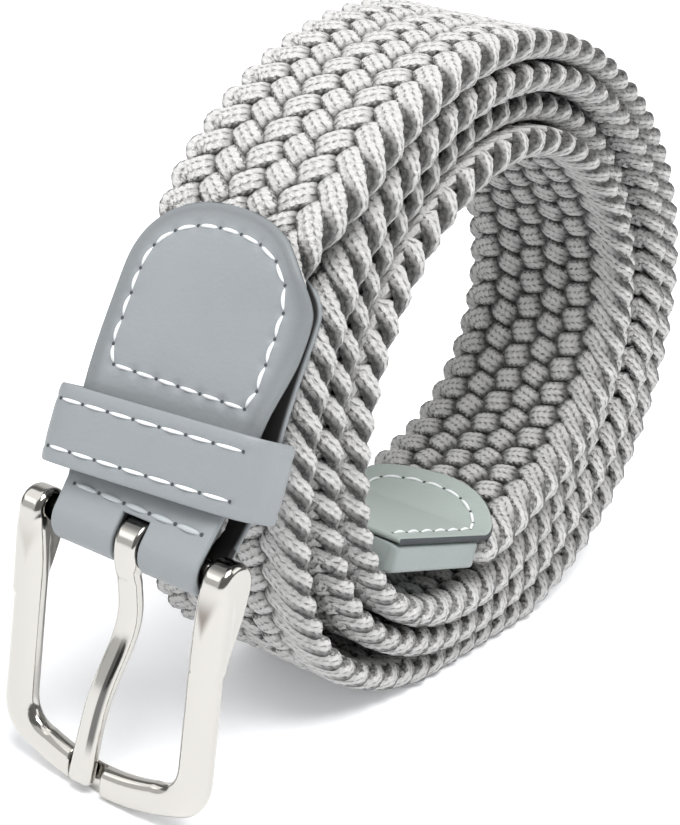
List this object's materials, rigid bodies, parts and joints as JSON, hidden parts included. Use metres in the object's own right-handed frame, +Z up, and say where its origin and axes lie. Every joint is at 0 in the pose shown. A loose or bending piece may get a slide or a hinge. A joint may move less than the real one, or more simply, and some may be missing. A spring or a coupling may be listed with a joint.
{
  "type": "braided stretch belt",
  "caption": "Braided elastic waist belt with a leather tab, keeper loop, leather-covered end and hinged pin buckle, coiled and stood on edge.",
  "frame": {"origin": "the point of the floor under the middle of the whole belt's box, inside the flat that the coil rests on", "axes": "+X across the belt's width, along the coil's axis; -Y towards the buckle; +Z up"},
  "size_m": [0.044, 0.151, 0.1183],
  "materials": {
    "braid": "matt woven elastic cords, light warm grey",
    "leather": "finely grained grey leather with a low sheen and pale stitches",
    "tip_leather": "finely grained grey-green leather with a dark raw edge",
    "nickel": "polished warm nickel plate"
  },
  "bodies": {
    "strap": {"braided_band": "braid", "leather_fold": "leather", "keeper_loop": "leather", "leather_tip": "tip_leather", "tip_leaf": "tip_leather"},
    "buckle": {"buckle_frame": "nickel", "buckle_bar": "nickel"},
    "prong": {"prong": "nickel"}
  },
  "joints": [
    {"name": "buckle_hinge", "type": "hinge", "parent": "strap", "child": "buckle", "pos_m": [0.00045, -0.0678, 0.0439], "axis": [-1, 0, 0], "range_deg": [-30, 50]},
    {"name": "prong_hinge", "type": "hinge", "parent": "buckle", "child": "prong", "pos_m": [0.00045, -0.0678, 0.0439], "axis": [-1, 0, 0], "range_deg": [0, 55]}
  ]
}
